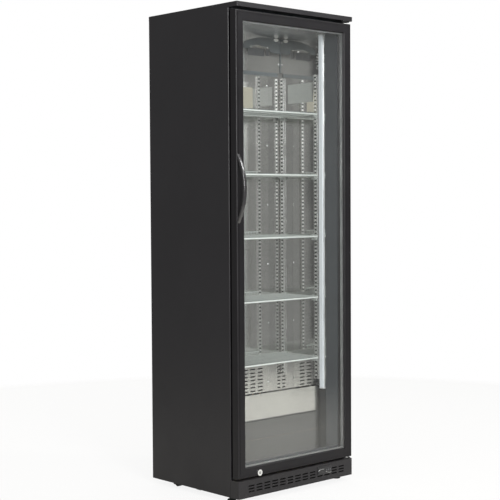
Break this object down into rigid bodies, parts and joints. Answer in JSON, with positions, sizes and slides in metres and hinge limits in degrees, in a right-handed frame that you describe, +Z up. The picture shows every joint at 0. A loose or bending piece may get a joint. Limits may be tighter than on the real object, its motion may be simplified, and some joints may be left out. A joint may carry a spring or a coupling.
{
  "type": "glass door merchandiser",
  "caption": "Tall upright display cooler with one hinged double-glazed door, bow handle, polished interior, wire shelves, side light, vented plinth with controller, and rear cooling unit.",
  "frame": {"origin": "on the floor under the middle of the object's overall box, handle included", "axes": "+Z up, -Y towards the front where the door is, +X to the right as seen from the front, the side of the door's hinges"},
  "size_m": [0.6, 0.536, 1.8],
  "materials": {
    "black_steel": "satin black pre-painted sheet steel",
    "cap_black": "satin black top cap",
    "galvanised": "plain galvanised sheet steel",
    "foam": "foamed polyurethane",
    "polished_liner": "polished, nearly mirror-bright sheet metal",
    "black_plastic": "matt black moulded plastic",
    "throat_grey": "dark grey moulded strips round the door opening",
    "coil_aluminium": "bare aluminium fins",
    "coil_black": "black painted steel",
    "fan_plastic": "pale moulded plastic",
    "pilaster_steel": "bright perforated steel strip",
    "white_plastic": "white moulded plastic",
    "shelf_wire": "pale grey plastic-coated wire",
    "light_base": "anodised light channel",
    "milky_diffuser": "milky diffuser, unlit",
    "controller_black": "black controller bezel",
    "lens_black": "smoked glossy window",
    "button_grey": "dark grey keys",
    "copper": "copper tube",
    "rubber_black": "black rubber and nylon",
    "door_black": "satin black door frame extrusion",
    "clear_glass": "clear toughened glass",
    "spacer_aluminium": "bright aluminium spacer",
    "gasket_rubber": "soft black magnetic seal",
    "handle_black": "satin black moulded handle",
    "lock_chrome": "chrome-plated lock"
  },
  "bodies": {
    "cabinet": {"side_panel_left": "black_steel", "side_panel_right": "black_steel", "rear_panel": "galvanised", "top_cap": "cap_black", "base_tray": "galvanised", "machine_cover": "galvanised", "insulation": "foam", "liner_left": "polished_liner", "liner_right": "polished_liner", "liner_ceiling": "polished_liner", "liner_floor": "polished_liner", "liner_back": "polished_liner", "throat_strips": "throat_grey", "duct_panel": "polished_liner", "fan_cover": "polished_liner", "evaporator_coil": "coil_aluminium", "evaporator_fan_motor": "black_plastic", "drip_tray": "fan_plastic", "pilasters": "pilaster_steel", "shelf_clips": "white_plastic", "light_housing": "light_base", "light_diffuser": "milky_diffuser", "plinth_grille": "black_steel", "controller_housing": "controller_black", "controller_lens": "lens_black", "compressor": "coil_black", "condenser_coil": "coil_black", "condenser_fan_motor": "black_plastic", "evaporation_tray": "black_plastic", "refrigerant_pipes": "copper", "power_inlet_box": "black_plastic", "hinge_brackets": "coil_black", "roller_brackets": "coil_black", "panel_screws": "pilaster_steel"},
    "shelf_1": {"shelf_1": "shelf_wire"},
    "shelf_2": {"shelf_2": "shelf_wire"},
    "shelf_3": {"shelf_3": "shelf_wire"},
    "shelf_4": {"shelf_4": "shelf_wire"},
    "shelf_5": {"shelf_5": "shelf_wire"},
    "evaporator_fan": {"evaporator_fan": "fan_plastic"},
    "condenser_fan": {"condenser_fan": "fan_plastic"},
    "button_1": {"button_1": "button_grey"},
    "button_2": {"button_2": "button_grey"},
    "button_3": {"button_3": "button_grey"},
    "roller_left": {"roller_left": "rubber_black"},
    "roller_right": {"roller_right": "rubber_black"},
    "foot_left": {"foot_left": "rubber_black"},
    "foot_right": {"foot_right": "rubber_black"},
    "door": {"door_stile_left": "door_black", "door_stile_right": "door_black", "door_rail_top": "door_black", "door_rail_bottom": "door_black", "door_outer_glass": "clear_glass", "door_inner_glass": "clear_glass", "door_gasket": "gasket_rubber", "door_handle": "handle_black", "glass_spacer": "spacer_aluminium", "lock_barrel": "lock_chrome", "hinge_bushes": "white_plastic"},
    "lock_plug": {"lock_plug": "lock_chrome"}
  },
  "joints": [
    {"name": "door_swing", "type": "hinge", "parent": "cabinet", "child": "door", "pos_m": [0.281, -0.215, 0.92], "axis": [0, 0, 1], "range_deg": [0, 110]},
    {"name": "lock_turn", "type": "hinge", "parent": "door", "child": "lock_plug", "pos_m": [-0.197, -0.215, 0.1045], "axis": [0, 1, 0], "range_deg": [0, 90]},
    {"name": "shelf_1_lift", "type": "slide", "parent": "cabinet", "child": "shelf_1", "axis": [0, 0, 1], "range_m": [0, 0.03]},
    {"name": "shelf_2_lift", "type": "slide", "parent": "cabinet", "child": "shelf_2", "axis": [0, 0, 1], "range_m": [0, 0.03]},
    {"name": "shelf_3_lift", "type": "slide", "parent": "cabinet", "child": "shelf_3", "axis": [0, 0, 1], "range_m": [0, 0.03]},
    {"name": "shelf_4_lift", "type": "slide", "parent": "cabinet", "child": "shelf_4", "axis": [0, 0, 1], "range_m": [0, 0.03]},
    {"name": "shelf_5_lift", "type": "slide", "parent": "cabinet", "child": "shelf_5", "axis": [0, 0, 1], "range_m": [0, 0.03]},
    {"name": "evaporator_fan_spin", "type": "hinge", "parent": "cabinet", "child": "evaporator_fan", "pos_m": [0, 0.149, 1.68], "axis": [0, 1, 0], "continuous": true},
    {"name": "condenser_fan_spin", "type": "hinge", "parent": "cabinet", "child": "condenser_fan", "pos_m": [-0.066, 0.203, 0.092], "axis": [1, 0, 0], "continuous": true},
    {"name": "button_1_press", "type": "slide", "parent": "cabinet", "child": "button_1", "axis": [0, 1, 0], "range_m": [0, 0.001], "stiffness_N_per_m": 300},
    {"name": "button_2_press", "type": "slide", "parent": "cabinet", "child": "button_2", "axis": [0, 1, 0], "range_m": [0, 0.001], "stiffness_N_per_m": 300},
    {"name": "button_3_press", "type": "slide", "parent": "cabinet", "child": "button_3", "axis": [0, 1, 0], "range_m": [0, 0.001], "stiffness_N_per_m": 300},
    {"name": "roller_left_roll", "type": "hinge", "parent": "cabinet", "child": "roller_left", "pos_m": [-0.258, 0.156, 0.015], "axis": [1, 0, 0], "continuous": true},
    {"name": "roller_right_roll", "type": "hinge", "parent": "cabinet", "child": "roller_right", "pos_m": [0.258, 0.156, 0.015], "axis": [1, 0, 0], "continuous": true},
    {"name": "foot_left_screw", "type": "slide", "parent": "cabinet", "child": "foot_left", "axis": [0, 0, -1], "range_m": [0, 0.012]},
    {"name": "foot_right_screw", "type": "slide", "parent": "cabinet", "child": "foot_right", "axis": [0, 0, -1], "range_m": [0, 0.012]}
  ]
}
